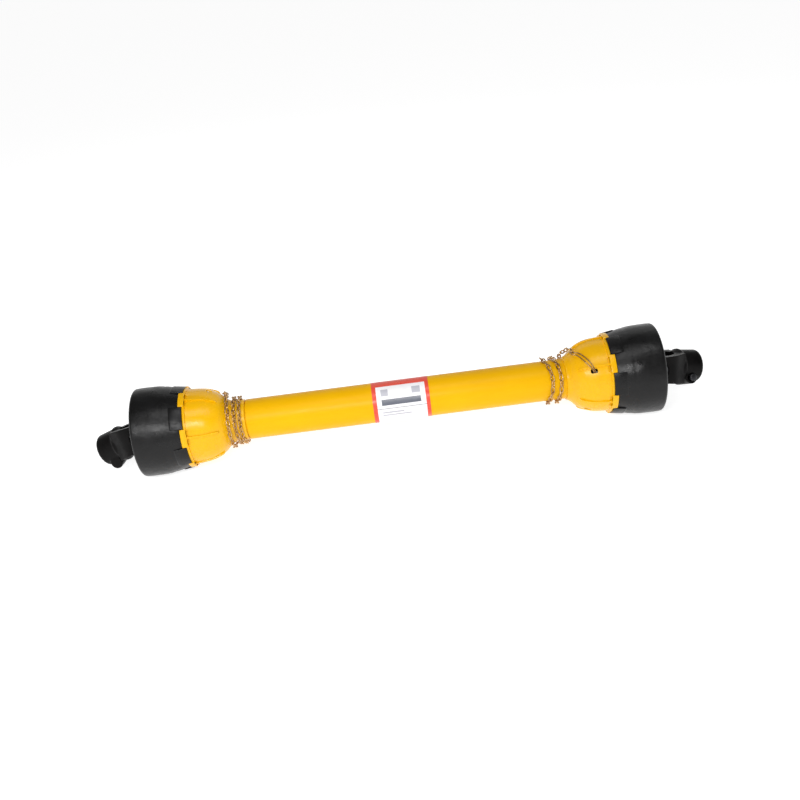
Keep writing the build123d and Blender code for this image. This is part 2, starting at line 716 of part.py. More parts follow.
def chain(route, outline, hole_angle):
    """A chain of separate links along its route, each a quarter turn from the last."""
    start_angle = hole_angle - hook_sweep
    link = chain_link()
    spacing = link_pitch - link_slack
    links = []
    turn = 0.0
    step = 0.0005
    place = route_point(route, outline, start_angle, turn)
    while turn < route[-1][0]:
        ahead = route_point(route, outline, start_angle, turn + step)
        tangent = (ahead - place).normalized()
        outwards = Vector(0, place.Y, place.Z).normalized()
        outwards = (outwards - tangent * outwards.dot(tangent)).normalized()
        lean = 45.0 * min(len(links) / 4, 1.0) + 90.0 * (len(links) % 2)
        plane = Plane(origin=place, x_dir=tangent, z_dir=tangent.cross(outwards))
        links.append(link.moved(plane.location * Rot(lean, 0, 0)))
        last = place
        while (place - last).length < spacing:
            turn += step
            place = route_point(route, outline, start_angle, turn)
    return links


def chain_hook(route, outline, hole_angle):
    """The long wire loop between the chain's first link and the hole beside a rib of the bell."""
    start_angle = hole_angle - hook_sweep
    first = route_point(route, outline, start_angle, 0.0)
    second = route_point(route, outline, start_angle, 0.01)
    backwards = (first - second).normalized()
    middle = [first + backwards * (link_pitch / 2 - hook_wire), first + backwards * (link_pitch + 0.6)]
    hole_set_back = rim_set_back + chain_hole_depth
    for share, lift in hook_rise:
        set_back = hook_start_set_back + share * (hole_set_back - hook_start_set_back)
        angle = radians(hole_angle - hook_sweep * (1 - share))
        radius = outline_radius(outline, set_back - 2) + lift
        middle.append(Vector(-set_back, radius * cos(angle), radius * sin(angle)))
    half = (hook_width - hook_wire) / 2
    left = []
    right = []
    for index, place in enumerate(middle):
        before = middle[max(index - 1, 0)]
        after = middle[min(index + 1, len(middle) - 1)]
        outwards = Vector(0, place.Y, place.Z).normalized()
        aside = (after - before).cross(outwards).normalized()
        reach = half * (hook_nose if index > len(middle) - 3 else 1.0)
        left.append(place + aside * reach)
        right.append(place - aside * reach)
    closing = (left[0] - right[0]).normalized() * (hook_wire + 0.3)
    return bent_wire([*left, *reversed(right), left[0] - closing], hook_wire / 2, False)


# Assembly

def at_end(side):
    """The place of an end frame: the right end as it is, the left end turned half round."""
    return Pos(side * pivot, 0, 0) * Rot(0, 0, 0 if side > 0 else 180)


def shaft_end(name, side, droop, swing, tube_inset, tab_angle, hole_angle):
    """All pieces of one end, as a dictionary of node names."""
    place = at_end(side)
    drive_place = place * Rot(side * drive_turn, 0, 0)
    cross_place = drive_place * Rot(0, 0, swing)
    yoke_place = cross_place * Rot(0, droop, 0)
    upright = Rot(90, 0, 0)
    if side > 0:
        outline = [*bell_outline, (bell_outline[-1][0] + 1.5, guard_radius), (pivot, guard_radius)]
        route = right_route
        bell_piece = bell(guard_radius, bell_outline[-1][0] + 1.2, bell_outline[-1][1], tab_angle,
                          hole_angle)
    else:
        outline = [*bell_outline[:-1], (bell_outline[-1][0] + 1.0, guard_radius + 0.4),
                   (pivot, guard_radius + 0.4)]
        route = left_route
        bell_piece = bell(inner_guard_radius, left_neck_end, guard_radius + 0.4, tab_angle, hole_angle)
    return {
        f"outer_yoke_{name}": yoke_place * outer_yoke(),
        f"push_pin_{name}": yoke_place * pin_place() * push_pin(),
        f"pin_spring_{name}": yoke_place * pin_place() * pin_spring(),
        f"cross_{name}": cross_place * cross(),
        f"cross_seals_{name}": [cross_place * seal for seal in cross_seals()],
        f"grease_nipple_{name}": cross_place * grease_nipple(),
        f"outer_cups_{name}": [yoke_place * cup for cup in bearing_cups()],
        f"outer_circlips_{name}": [yoke_place * clip for clip in circlips()],
        f"inner_cups_{name}": [drive_place * upright * cup for cup in bearing_cups()],
        f"inner_circlips_{name}": [drive_place * upright * clip for clip in circlips()],
        f"inner_yoke_{name}": drive_place * inner_yoke(tube_inset),
        f"roll_pin_{name}": drive_place * roll_pin(),
        f"bell_{name}": place * bell_piece,
        f"cone_{name}": place * cone(tab_angle),
        f"bearing_ring_{name}": place * bearing_ring(tab_angle),
        f"chain_{name}": [place * link for link in chain(route, outline, hole_angle)],
        f"chain_hook_{name}": place * chain_hook(route, outline, hole_angle),
    }


def shaft():
    """Every piece of the shaft, with the shaft's line on the X axis."""
    pieces = shaft_end("right", 1, right_droop, right_swing, 0.0, right_tab_angle,
                       right_tab_angle + chain_hole_offset)
    pieces |= shaft_end("left", -1, left_droop, left_swing, inner_tube_inset, left_tab_angle,
                        left_tab_angle + 180.0 + chain_hole_offset)
    turn = Rot(drive_turn, 0, 0)
    pieces["outer_drive_tube"] = turn * drive_tube(0.0, 1, -outer_profile_end)
    pieces["inner_drive_tube"] = turn * drive_tube(inner_tube_inset, -1, inner_profile_reach)
    tube_stop = bell_outline[-1][0] - guard_tube_seat
    pieces["guard_tube_outer"] = guard_tube(guard_radius, left_neck_end + left_tube_gap - pivot,
                                            pivot - tube_stop)
    pieces["guard_tube_inner"] = guard_tube(inner_guard_radius, tube_stop - pivot, inner_guard_reach)
    pieces["label"] = label()
    return pieces


def standing(pieces):
    """The pieces moved so that the floor is z = 0 and the origin is under the middle of their box."""
    whole = Compound(children=[Compound(children=as_list(piece)) for piece in pieces.values()])
    box = whole.bounding_box()
    shift = Pos(-(box.min.X + box.max.X) / 2, -(box.min.Y + box.max.Y) / 2, -box.min.Z)
    print("shaft line moved by", shift.position)
    return {node: [shift * part for part in as_list(piece)] for node, piece in pieces.items()}


def as_list(piece):
    """The solids of a piece or of a list of pieces."""
    parts = piece if isinstance(piece, list) else [piece]
    return [solid for part in parts for solid in part.solids()]


os.makedirs("parts", exist_ok=True)
nodes = standing(shaft())
for node, solids in nodes.items():
    export_step(solids[0] if len(solids) == 1 else Compound(children=solids), f"parts/{node}.step")
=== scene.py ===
"""The guarded PTO drive shaft, dressed for its portrait: yellow guard, black cones, gold chains.

A guard piece is drawn in millimetres in its end frame, as in the part's source: the centre of the joint
is the origin, +X points outwards along the shaft, and a set-back is a distance back towards the middle.
"""
import json
from math import cos, pi, radians, sin

import bpy
from mathutils import Matrix, Vector


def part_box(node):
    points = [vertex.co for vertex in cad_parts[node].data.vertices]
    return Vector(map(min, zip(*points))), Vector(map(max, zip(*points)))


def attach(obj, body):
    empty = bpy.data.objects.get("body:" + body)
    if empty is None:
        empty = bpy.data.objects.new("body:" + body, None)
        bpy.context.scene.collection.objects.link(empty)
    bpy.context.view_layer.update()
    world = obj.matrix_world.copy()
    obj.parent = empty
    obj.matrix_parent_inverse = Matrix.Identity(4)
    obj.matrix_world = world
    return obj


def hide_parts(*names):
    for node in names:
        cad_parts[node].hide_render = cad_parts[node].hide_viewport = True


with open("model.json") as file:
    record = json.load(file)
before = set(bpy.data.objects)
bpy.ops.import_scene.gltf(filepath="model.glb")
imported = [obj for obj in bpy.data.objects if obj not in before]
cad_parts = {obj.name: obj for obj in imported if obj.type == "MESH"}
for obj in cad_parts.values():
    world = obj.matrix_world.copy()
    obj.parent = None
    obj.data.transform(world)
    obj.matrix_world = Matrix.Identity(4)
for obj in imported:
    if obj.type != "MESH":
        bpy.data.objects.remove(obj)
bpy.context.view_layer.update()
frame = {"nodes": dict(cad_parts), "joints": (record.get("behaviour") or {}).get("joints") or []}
nodes = frame["nodes"]
MM = 0.001
WELD = 0.01 * MM

# The shaft's line, and the places along it
SHAFT_HEIGHT = 75.3771
SHAFT_SHIFT = -0.3934
PIVOT = 430.0

# The photograph's view, in metres
CAMERA_DISTANCE = 1.69
CAMERA_ELEVATION = radians(30.0)
CAMERA_ROLL = radians(7.33)
CAMERA_AIM = Vector((0.0024, 0.0, 0.0745))
LENS = 44.73

# Guard outlines, as (set-back, outer radius)
BELL = [(75.0, 64.3), (84.0, 63.0), (103.0, 61.5), (116.0, 57.5), (123.0, 54.0), (130.0, 49.5),
        (135.0, 45.0), (140.0, 40.0), (146.0, 36.6)]
CONE = [(68.0, 66.8), (55.0, 70.2), (43.0, 72.8), (28.0, 74.8), (5.0, 75.3), (-6.0, 75.0)]
BELL_WALL = 3.0
CONE_WALL = 3.4
RIM = 75.0
TAB_INNER = 65.6
TAB_OUTER = 68.6
TAB_WIDTH = 26.4
TAB_PITCH = 60.0
TAB_BACK = 78.5
TAB_TIP = 68.8
LUG_FRONT = 53.0
RIB = [(130.0, -0.4), (127.0, 3.6), (113.0, 2.2), (100.0, 1.8), (78.0, 1.8)]
GUARD_RADIUS = 34.0
GUARD_BORE = 31.5
INNER_RADIUS = 31.2
INNER_BORE = 28.7
OUTER_TUBE = (-256.0, 304.0)
INNER_TUBE = (-304.0, 240.0)
WINDOW = 115.5
POCKET_BACK = 82.0
POCKET_ASIDE = 6.4
POCKET_WIDTH = 9.0
TAB_ANGLE = {"left": 13.5, "right": 138.2}
HOLE_ANGLE = {"left": 200.1, "right": 144.8}

# The label, wrapped round the outer guard tube
LABEL_LENGTH = 96.0
LABEL_MIDDLE = 5.0
LABEL_FACING = 150.0
LABEL_WRAP = 250.0
LABEL_THICKNESS = 0.2
LABEL_LIFT = 0.12

# The locking pin's hole, from the middle of the pin outwards
PIN_HOLE_RADIUS = 6.65
PIN_HOLE_FLOOR = -31.0
PIN_HOLE_TOP = 40.0

# Chains
WIRE = 2.3
LINK_PITCH = 10.4
LINK_WIDTH = 8.2
LINK_SPACING = 10.0
CHAIN_GAP = 0.7
HOOK_WIRE = 2.0
HOOK_WIDTH = 8.0
HOOK_SWEEP = 50.0
HOOK_HOLE = 105.0
HOOK_START = 134.0
HOOK_RISE = [(0.25, 3.4), (0.5, 3.6), (0.78, 4.8), (0.93, 3.9), (1.03, -1.6)]
# The chain's route, as (turns, set-back, lift)
ROUTE = {
    "right": [(0.0, HOOK_START, 1.0), (0.13, 147.0, 0.8), (0.347, 157.0, 0.3), (0.597, 163.0, 0.2),
              (0.847, 156.5, 0.3), (1.097, 164.0, 0.3), (1.347, 172.0, 0.0), (1.597, 178.5, 0.0),
              (1.847, 171.0, 0.3), (2.097, 182.0, 0.2)],
    "left": [(0.0, HOOK_START, 1.0), (0.12, 143.5, 0.5), (0.333, 145.0, 0.4), (0.583, 145.5, 0.4),
             (0.833, 147.0, 0.3), (1.083, 154.0, 0.2), (1.333, 155.0, 0.2), (1.583, 158.0, 0.2),
             (1.833, 157.0, 0.2), (2.083, 163.5, 0.2), (2.333, 164.0, 0.2), (2.583, 166.0, 0.0),
             (2.7, 167.5, 0.0)],
}
# What the chain lies on, as (set-back, radius)
UNDER = {
    "right": [*BELL, (147.5, 34.0), (430.0, 34.0)],
    "left": [*BELL[:-1], (147.0, 34.4), (430.0, 34.4)],
}


# Camera, floor and light

def photographers_camera():
    """A camera in front of the shaft, looking down on it and rolled so that its right end rises."""
    data = bpy.data.cameras.new("camera")
    data.lens = LENS
    data.sensor_width = 36.0
    data.clip_start = 0.05
    camera = bpy.data.objects.new("camera", data)
    bpy.context.scene.collection.objects.link(camera)
    back = Vector((0.0, -cos(CAMERA_ELEVATION), sin(CAMERA_ELEVATION)))
    turn = back.to_track_quat("Z", "Y").to_matrix() @ Matrix.Rotation(-CAMERA_ROLL, 3, "Z")
    camera.matrix_world = Matrix.Translation(CAMERA_AIM + back * CAMERA_DISTANCE) @ turn.to_4x4()
    bpy.context.scene.camera = camera


def softbox(name, place, aim, size, power):
    """A rectangular soft light at a place, turned to face a point."""
    data = bpy.data.lights.new(name, "AREA")
    data.shape = "RECTANGLE"
    data.size, data.size_y = size
    data.energy = power
    light = bpy.data.objects.new(name, data)
    bpy.context.scene.collection.objects.link(light)
    away = Vector(place) - Vector(aim)
    light.matrix_world = Matrix.Translation(place) @ away.to_track_quat("Z", "Y").to_matrix().to_4x4()


def studio():
    """A sheet of lit white paper, a room that is pale at its horizon, and three soft lights."""
    bpy.ops.mesh.primitive_plane_add(size=40.0, location=(0.0, 0.0, -0.0005))
    floor = bpy.context.object
    floor.name = "floor"
    paper = bpy.data.materials.new("white_paper")
    paper.use_nodes = True
    shader = paper.node_tree.nodes["Principled BSDF"]
    shader.inputs["Base Color"].default_value = (0.6, 0.6, 0.6, 1.0)
    shader.inputs["Roughness"].default_value = 0.9
    shader.inputs["Specular IOR Level"].default_value = 0.0
    shader.inputs["Emission Color"].default_value = (1.0, 1.0, 1.0, 1.0)
    shader.inputs["Emission Strength"].default_value = 0.8
    floor.data.materials.append(paper)
    room = bpy.data.worlds.new("white_room")
    room.use_nodes = True
    tree = room.node_tree
    sky = tree.nodes.new("ShaderNodeTexCoord")
    apart = tree.nodes.new("ShaderNodeSeparateXYZ")
    height = tree.nodes.new("ShaderNodeValToRGB")
    low, high = height.color_ramp.elements
    low.position, low.color = 0.16, (0.96, 0.96, 0.96, 1.0)
    high.position, high.color = 0.42, (0.2, 0.2, 0.2, 1.0)
    tree.links.new(sky.outputs["Generated"], apart.inputs["Vector"])
    tree.links.new(apart.outputs["Z"], height.inputs["Fac"])
    tree.links.new(height.outputs["Color"], tree.nodes["Background"].inputs["Color"])
    bpy.context.scene.world = room
    softbox("key_front", (-0.35, -1.24, 0.98), (-0.05, 0.0, 0.08), (1.3, 0.15), 16.0)
    softbox("key_above", (0.1, -0.5, 1.7), (0.0, 0.0, 0.08), (1.6, 0.5), 9.0)
    softbox("rim_back", (0.3, 1.5, 1.2), (0.0, 0.0, 0.08), (2.0, 0.6), 3.0)
    bpy.context.scene.view_settings.view_transform = "Standard"


# Finishes

class Finish:
    """One material being mixed: its nodes are added and joined by name."""

    def __init__(self, name, **sockets):
        self.material = bpy.data.materials.new(name)
        self.material.use_nodes = True
        self.tree = self.material.node_tree
        self.shader = self.tree.nodes["Principled BSDF"]
        for socket, value in sockets.items():
            self.shader.inputs[socket.replace("_", " ")].default_value = value
        self.place = self.tree.nodes.new("ShaderNodeTexCoord").outputs["Object"]

    def join(self, source, node, socket):
        self.tree.links.new(source, node.inputs[socket])

    def stretched(self, scale):
        """The object's own coordinates, stretched along its axes."""
        mapping = self.tree.nodes.new("ShaderNodeMapping")
        mapping.inputs["Scale"].default_value = scale
        self.join(self.place, mapping, "Vector")
        return mapping.outputs["Vector"]

    def centred(self):
        """The coordinates with their origin on the shaft's line, as separate X, Y and Z."""
        mapping = self.tree.nodes.new("ShaderNodeMapping")
        mapping.inputs["Location"].default_value = (-SHAFT_SHIFT * MM, 0.0, -SHAFT_HEIGHT * MM)
        self.join(self.place, mapping, "Vector")
        apart = self.tree.nodes.new("ShaderNodeSeparateXYZ")
        self.join(mapping.outputs["Vector"], apart, "Vector")
        return apart.outputs["X"], apart.outputs["Y"], apart.outputs["Z"]

    def noise(self, scale, detail=4.0, roughness=0.55, where=None):
        node = self.tree.nodes.new("ShaderNodeTexNoise")
        node.inputs["Scale"].default_value = scale
        node.inputs["Detail"].default_value = detail
        node.inputs["Roughness"].default_value = roughness
        self.join(where or self.place, node, "Vector")
        return node.outputs["Fac"]

    def ramp(self, source, *stops):
        """A ramp of (position, colour or grey) stops."""
        node = self.tree.nodes.new("ShaderNodeValToRGB")
        band = node.color_ramp
        while len(band.elements) < len(stops):
            band.elements.new(0.5)
        for element, (position, colour) in zip(band.elements, stops):
            element.position = position
            if isinstance(colour, (int, float)):
                colour = (colour, colour, colour)
            element.color = (*colour, 1.0)
        self.join(source, node, "Fac")
        return node.outputs["Color"]

    def mix(self, share, first, second):
        """Two colours mixed by a share, each a socket or a colour."""
        node = self.tree.nodes.new("ShaderNodeMix")
        node.data_type = "RGBA"
        for index, value in ((0, share), (6, first), (7, second)):
            if isinstance(value, bpy.types.NodeSocket):
                self.tree.links.new(value, node.inputs[index])
            elif index == 0:
                node.inputs[index].default_value = value
            else:
                node.inputs[index].default_value = (*value, 1.0)
        return node.outputs[2]

    def maths(self, way, first, second):
        node = self.tree.nodes.new("ShaderNodeMath")
        node.operation = way
        for index, value in enumerate((first, second)):
            if isinstance(value, bpy.types.NodeSocket):
                self.tree.links.new(value, node.inputs[index])
            else:
                node.inputs[index].default_value = value
        return node.outputs[0]

    def bump(self, height, strength, distance):
        node = self.tree.nodes.new("ShaderNodeBump")
        node.inputs["Strength"].default_value = strength
        node.inputs["Distance"].default_value = distance
        self.join(height, node, "Height")
        self.join(node.outputs["Normal"], self.shader, "Normal")

    def colour(self, source):
        self.join(source, self.shader, "Base Color")

    def roughness(self, source):
        self.join(source, self.shader, "Roughness")


def guard_yellow(name, gloss, smooth, rough, ripple):
    """Yellow polyethylene with flow streaks, faint scuffs and an orange-peel skin."""
    finish = Finish(name, Specular_IOR_Level=gloss)
    clouds = finish.noise(9.0, 5.0)
    streaks = finish.noise(60.0, 4.0, where=finish.stretched((0.25, 1.0, 1.0)))
    hue = finish.ramp(clouds, (0.32, (0.75, 0.385, 0.0)), (0.62, (0.79, 0.425, 0.0)))
    streaked = finish.mix(finish.ramp(streaks, (0.45, 0.0), (0.8, 0.22)), hue, (0.70, 0.35, 0.0))
    scuffs = finish.noise(260.0, 6.0, 0.7, where=finish.stretched((0.12, 1.0, 1.0)))
    scuffed = finish.mix(finish.ramp(scuffs, (0.66, 0.0), (0.8, 0.25)), streaked, (0.86, 0.56, 0.05))
    finish.colour(scuffed)
    finish.roughness(finish.ramp(finish.noise(34.0, 6.0), (0.3, smooth), (0.7, rough)))
    finish.bump(finish.noise(420.0, 3.0), ripple, 0.0006)
    return finish.material


def soft_black():
    """The cones' soft black plastic, mottled where it has been handled."""
    finish = Finish("soft_black", Specular_IOR_Level=0.3)
    patches = finish.noise(26.0, 6.0, 0.65)
    finish.colour(finish.ramp(patches, (0.3, (0.0012, 0.0011, 0.0011)), (0.72, (0.0045, 0.0045, 0.005))))
    finish.roughness(finish.ramp(finish.noise(38.0, 7.0, 0.7), (0.32, 0.24), (0.68, 0.42)))
    finish.bump(finish.noise(60.0, 6.0, 0.62), 0.55, 0.0016)
    return finish.material


def forged_black():
    """Black paint over a drop forging: scaly skin, chips and a few bright rubs."""
    finish = Finish("forged_black", Specular_IOR_Level=0.09)
    scale = finish.noise(85.0, 7.0, 0.62)
    paint = finish.ramp(finish.noise(30.0, 5.0), (0.3, (0.0016, 0.0014, 0.0014)),
                        (0.75, (0.006, 0.0055, 0.0055)))
    rubs = finish.ramp(finish.noise(210.0, 6.0, 0.75), (0.66, 0.0), (0.72, 0.5))
    finish.colour(finish.mix(rubs, paint, (0.05, 0.047, 0.045)))
    finish.roughness(finish.ramp(scale, (0.3, 0.28), (0.7, 0.5)))
    finish.bump(scale, 0.3, 0.0012)
    return finish.material


def machined_steel(name, shade, rough):
    """Turned or drawn steel with fine tool lines."""
    finish = Finish(name, Metallic=1.0)
    lines = finish.noise(900.0, 3.0, where=finish.stretched((3.0, 0.3, 0.3)))
    stain = finish.noise(45.0, 5.0)
    finish.colour(finish.ramp(stain, (0.3, tuple(0.82 * part for part in shade)), (0.7, shade)))
    finish.roughness(finish.ramp(stain, (0.3, rough), (0.72, rough + 0.16)))
    finish.bump(lines, 0.25, 0.0002)
    return finish.material


def passivated_gold():
    """Yellow zinc plating, golden brown with rosy tints and dull hollows."""
    finish = Finish("passivated_gold", Metallic=1.0)
    tint = finish.noise(130.0, 3.0)
    plating = finish.ramp(tint, (0.28, (0.26, 0.13, 0.06)), (0.45, (0.46, 0.27, 0.11)),
                          (0.6, (0.66, 0.46, 0.22)), (0.75, (0.50, 0.28, 0.22)))
    grime = finish.ramp(finish.noise(420.0, 4.0, 0.6), (0.5, 0.0), (0.68, 0.6))
    finish.colour(finish.mix(grime, plating, (0.16, 0.09, 0.045)))
    finish.roughness(finish.ramp(finish.noise(500.0, 4.0), (0.3, 0.22), (0.7, 0.42)))
    finish.bump(finish.noise(1400.0, 3.0), 0.2, 0.0002)
    return finish.material


def natural_nylon():
    """The bearing rings' off-white nylon."""
    finish = Finish("natural_nylon", Specular_IOR_Level=0.4)
    finish.colour(finish.ramp(finish.noise(40.0, 5.0), (0.3, (0.62, 0.58, 0.48)), (0.7, (0.76, 0.73, 0.64))))
    finish.roughness(finish.ramp(finish.noise(120.0, 4.0), (0.3, 0.42), (0.7, 0.58)))
    finish.bump(finish.noise(500.0, 3.0), 0.15, 0.0004)
    return finish.material


def black_seal():
    """Nitrile rubber of the joint's seals, with a bloom."""
    finish = Finish("black_seal", Specular_IOR_Level=0.4)
    finish.colour(finish.ramp(finish.noise(160.0, 5.0), (0.35, (0.014, 0.014, 0.014)),
                              (0.75, (0.045, 0.043, 0.040))))
    finish.roughness(finish.ramp(finish.noise(300.0, 4.0), (0.3, 0.5), (0.7, 0.72)))
    finish.bump(finish.noise(900.0, 3.0), 0.2, 0.0003)
    return finish.material


def printed_film():
    """Glossy film printed with a red border, a thin rule and plain grey fields, bare of words."""
    finish = Finish("printed_film", Specular_IOR_Level=0.4)
    along, across, height = finish.centred()
    turn = finish.maths("ARCTAN2", height, finish.maths("MULTIPLY", across, -1.0))
    down = finish.maths("MULTIPLY", finish.maths("SUBTRACT", radians(30.0), turn), GUARD_RADIUS * MM)

    def inside(value, low, high):
        """One between two limits in millimetres, and nought elsewhere."""
        over = finish.maths("GREATER_THAN", value, low * MM)
        return finish.maths("MULTIPLY", over, finish.maths("LESS_THAN", value, high * MM))

    def field(left, right, top, bottom):
        """One inside a rectangle of the print, measured from its middle towards the floor."""
        return finish.maths("MULTIPLY", inside(along, left, right), inside(down, top, bottom))

    clouds = finish.noise(18.0, 5.0)
    paper = finish.ramp(clouds, (0.3, (0.80, 0.78, 0.80)), (0.7, (0.86, 0.85, 0.87)))
    red = finish.ramp(clouds, (0.3, (0.68, 0.055, 0.035)), (0.7, (0.76, 0.085, 0.05)))
    grey = finish.ramp(clouds, (0.3, (0.10, 0.11, 0.14)), (0.7, (0.15, 0.16, 0.19)))
    pale = finish.ramp(clouds, (0.3, (0.42, 0.42, 0.47)), (0.7, (0.5, 0.5, 0.55)))
    print_colour = finish.mix(field(-36.0, 46.5, -27.8, 200.0), red, paper)
    print_colour = finish.mix(field(-36.0, 46.5, 12.2, 13.1), print_colour, grey)
    print_colour = finish.mix(field(-28.0, 38.0, -3.0, 7.0), print_colour, grey)
    print_colour = finish.mix(field(-28.0, -16.0, -21.0, -9.0), print_colour, pale)
    print_colour = finish.mix(field(24.0, 38.0, -21.0, -9.0), print_colour, pale)
    print_colour = finish.mix(field(-28.0, 8.0, 18.5, 21.0), print_colour, pale)
    print_colour = finish.mix(field(-28.0, 20.0, 24.0, 26.5), print_colour, pale)
    rubbed = finish.ramp(finish.noise(240.0, 6.0, 0.7), (0.66, 0.0), (0.8, 0.35))
    finish.colour(finish.mix(rubbed, print_colour, (0.8, 0.74, 0.7)))
    finish.roughness(finish.ramp(finish.noise(60.0, 5.0), (0.3, 0.22), (0.7, 0.4)))
    finish.bump(finish.noise(300.0, 3.0), 0.08, 0.0004)
    return finish.material


def dressed(finishes):
    """Gives every CAD node that stays in sight its finish and smooth faces between its edges."""
    for name, node in nodes.items():
        finish = next(material for start, material in finishes if name.startswith(start))
        node.data.materials.clear()
        node.data.materials.append(finish)
        node.data.polygons.foreach_set("use_smooth", [True] * len(node.data.polygons))
        weld = node.modifiers.new("weld", "WELD")
        weld.merge_threshold = WELD
        split = node.modifiers.new("edges", "EDGE_SPLIT")
        split.split_angle = radians(32.0)


# Ways of making

def alone(piece):
    """Leaves one piece selected and active, in object mode."""
    if bpy.context.mode != "OBJECT":
        bpy.ops.object.mode_set(mode="OBJECT")
    bpy.ops.object.select_all(action="DESELECT")
    piece.select_set(True)
    bpy.context.view_layer.objects.active = piece


def started(name):
    """Names the new primitive, puts its place in its mesh and opens it for editing."""
    piece = bpy.context.object
    piece.name = name
    piece.data.name = name
    alone(piece)
    bpy.ops.object.transform_apply(location=True, rotation=True, scale=True)
    bpy.ops.object.mode_set(mode="EDIT")
    bpy.ops.mesh.select_mode(type="VERT")
    bpy.ops.mesh.select_all(action="SELECT")
    return piece


def closed_up():
    """Turns all faces of the piece being edited outwards and leaves edit mode."""
    bpy.ops.mesh.select_all(action="SELECT")
    bpy.ops.mesh.remove_doubles(threshold=WELD / 2)
    bpy.ops.mesh.normals_make_consistent(inside=False)
    bpy.ops.object.mode_set(mode="OBJECT")


def turned(name, outline, steps=180):
    """A ring drawn out circle by circle along a closed outline of (along, radius) in millimetres."""
    bpy.ops.object.select_all(action="DESELECT")
    start, radius = outline[0]
    bpy.ops.mesh.primitive_circle_add(vertices=steps, radius=radius * MM, location=(start * MM, 0.0, 0.0),
                                      rotation=(0.0, pi / 2, 0.0))
    piece = started(name)
    for place, reach in outline[1:]:
        bpy.ops.mesh.extrude_region_move(
            TRANSFORM_OT_translate={"value": ((place - start) * MM, 0.0, 0.0)})
        bpy.ops.transform.resize(value=(1.0, reach / radius, reach / radius),
                                 center_override=(place * MM, 0.0, 0.0))
        start, radius = place, reach
    bpy.ops.mesh.select_all(action="DESELECT")
    bpy.ops.mesh.select_non_manifold()
    bpy.ops.mesh.bridge_edge_loops()
    closed_up()
    return piece


def sliced(piece, *planes):
    """Cuts a piece by planes of (point, outward normal) and closes each cut."""
    alone(piece)
    bpy.ops.object.mode_set(mode="EDIT")
    for point, normal in planes:
        bpy.ops.mesh.select_all(action="SELECT")
        bpy.ops.mesh.bisect(plane_co=point, plane_no=normal, use_fill=True, clear_outer=True)
    closed_up()


def sector(name, outline, middle, width, steps=180):
    """The part of a turned ring within a width in degrees about a middle angle."""
    ring = turned(name, outline, steps)
    planes = []
    for side in (1, -1):
        turn = radians(middle + side * width / 2)
        planes.append(((0.0, 0.0, 0.0), (0.0, -side * sin(turn), side * cos(turn))))
    sliced(ring, *planes)
    return ring


def plate(name, outline, middle, thickness, steps=180):
    """The part of a turned ring between two planes along the shaft, either side of an angle."""
    ring = turned(name, outline, steps)
    out = Vector((0.0, cos(radians(middle)), sin(radians(middle))))
    aside = Vector((0.0, -out.z, out.y))
    half = thickness / 2 * MM
    sliced(ring, (aside * half, aside), (aside * -half, -aside), ((0.0, 0.0, 0.0), -out))
    return ring


def softened(piece, width, segments=2, angle=34.0):
    """Rounds a piece's sharp edges by a width in millimetres."""
    alone(piece)
    bevel = piece.modifiers.new("soft_edges", "BEVEL")
    bevel.width = width * MM
    bevel.segments = segments
    bevel.limit_method = "ANGLE"
    bevel.angle_limit = radians(angle)
    bpy.ops.object.modifier_apply(modifier=bevel.name)
    bpy.ops.object.shade_smooth_by_angle(angle=radians(angle))


def round_the_shaft(piece):
    """Joins to a piece its copies about the shaft's line, one for each of the other tabs."""
    twins = []
    for index in range(1, round(360.0 / TAB_PITCH)):
        twin = bpy.data.objects.new(piece.name, piece.data.copy())
        bpy.context.scene.collection.objects.link(twin)
        twin.data.transform(Matrix.Rotation(radians(TAB_PITCH * index), 4, "X"))
        twins.append(twin)
    joined(piece, *twins)


def joined(piece, *others):
    """Makes one object of a piece and others."""
    alone(piece)
    for other in others:
        other.select_set(True)
    bpy.ops.object.join()


def cut(piece, tool):
    """Takes a tool's shape out of a piece."""
    alone(piece)
    boolean = piece.modifiers.new("cut", "BOOLEAN")
    boolean.operation = "DIFFERENCE"
    boolean.solver = "EXACT"
    boolean.object = tool
    bpy.ops.object.modifier_apply(modifier=boolean.name)
    bpy.data.objects.remove(tool)


def oblong(name, set_back, middle, length, width, low, high):
    """A tool with rounded corners, standing out from the shaft at a set-back and an angle."""
    bpy.ops.object.select_all(action="DESELECT")
    bpy.ops.mesh.primitive_cube_add(size=1.0, location=(-set_back * MM, 0.0, (low + high) / 2 * MM),
                                    scale=(length * MM, width * MM, (high - low) * MM))
    tool = started(name)
    bpy.ops.mesh.select_mode(type="EDGE")
    bpy.ops.mesh.select_all(action="DESELECT")
    bpy.ops.object.mode_set(mode="OBJECT")
    corners = tool.data.vertices
    for edge in tool.data.edges:
        run = corners[edge.vertices[0]].co - corners[edge.vertices[1]].co
        edge.select = abs(run.z) > max(abs(run.x), abs(run.y))
    bpy.ops.object.mode_set(mode="EDIT")
    bpy.ops.mesh.bevel(offset=min(length, width) * 0.3 * MM, segments=4, affect="EDGES")
    closed_up()
    tool.data.transform(Matrix.Rotation(radians(middle - 90.0), 4, "X"))
    return tool


def at_end(piece, side):
    """Moves a piece from its end frame to its place on the shaft, in its mesh."""
    turn = Matrix.Rotation(pi if side == "left" else 0.0, 4, "Z")
    reach = PIVOT if side == "right" else -PIVOT
    piece.data.transform(Matrix.Translation(((SHAFT_SHIFT + reach) * MM, 0.0, SHAFT_HEIGHT * MM)) @ turn)
    return piece


def on_the_line(piece):
    """Moves a piece drawn about the middle of the shaft to its place, in its mesh."""
    piece.data.transform(Matrix.Translation((SHAFT_SHIFT * MM, 0.0, SHAFT_HEIGHT * MM)))
    return piece


